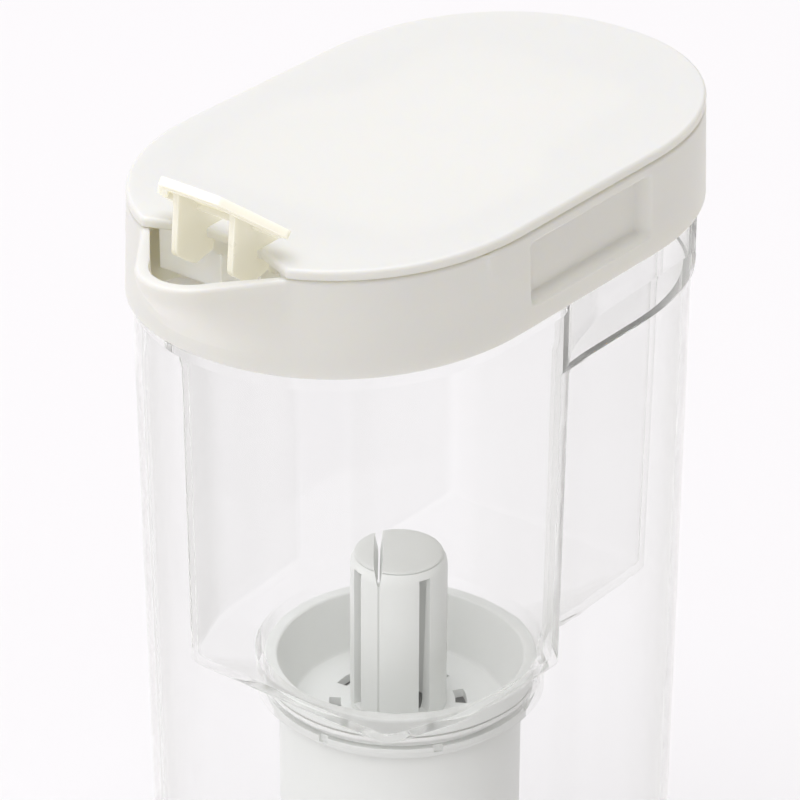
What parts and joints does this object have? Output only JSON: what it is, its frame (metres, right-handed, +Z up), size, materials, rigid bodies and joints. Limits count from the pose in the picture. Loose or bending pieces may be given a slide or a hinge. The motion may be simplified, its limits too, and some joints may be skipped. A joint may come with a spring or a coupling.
{
  "type": "water filter pitcher",
  "caption": "Slim clear water filter pitcher with a white collar spout, lift-off lid, tilting spout cover and a hanging reservoir that holds a filter cartridge.",
  "frame": {"origin": "middle of the outline, spout beak included, on the surface that the jug stands on", "axes": "+Z up; the spout points along -X; the grip pockets and finger recesses are on -Y and +Y"},
  "size_m": [0.1825, 0.1018, 0.2929],
  "materials": {
    "clear_plastic": "clear, glossy",
    "white_plastic": "moulded, satin gloss",
    "milky_plastic": "translucent, milky",
    "grey_plastic": "moulded, satin",
    "silicone": "matte",
    "steel": "fine",
    "felt": "fibrous",
    "carbon": "granular",
    "resin": "cast",
    "fibre": "fibrous"
  },
  "bodies": {
    "jug": {"jug": "clear_plastic"},
    "collar": {"collar": "white_plastic", "collar_seal": "silicone"},
    "reservoir": {"reservoir": "clear_plastic"},
    "lid": {"lid_plate": "white_plastic", "lid_frame": "white_plastic", "lid_seal": "silicone", "cover_pin": "steel"},
    "spout_cover": {"spout_cover": "milky_plastic"},
    "cartridge": {"cartridge_cup": "grey_plastic", "cartridge_post": "grey_plastic", "post_cap": "grey_plastic", "cartridge_seal": "silicone", "lock_ring": "grey_plastic", "cartridge_body": "grey_plastic", "inlet_mesh": "steel", "felt_pad": "felt", "carbon_bed": "carbon", "separator_disc": "white_plastic", "fibre_bundle": "fibre", "potting_disc": "resin", "outlet_cap": "grey_plastic"}
  },
  "joints": [
    {"name": "collar_lift", "type": "slide", "parent": "jug", "child": "collar", "axis": [0, 0, 1], "range_m": [0, 0.2]},
    {"name": "reservoir_lift", "type": "slide", "parent": "collar", "child": "reservoir", "axis": [0, 0, 1], "range_m": [0, 0.22]},
    {"name": "lid_lift", "type": "slide", "parent": "reservoir", "child": "lid", "axis": [0, 0, 1], "range_m": [0, 0.05]},
    {"name": "cartridge_lift", "type": "slide", "parent": "reservoir", "child": "cartridge", "axis": [0, 0, 1], "range_m": [0, 0.09]},
    {"name": "cover_tilt", "type": "hinge", "parent": "lid", "child": "spout_cover", "pos_m": [-0.05876, 0, 0.2722], "axis": [0, 1, 0], "range_deg": [-39.5, 20]}
  ]
}
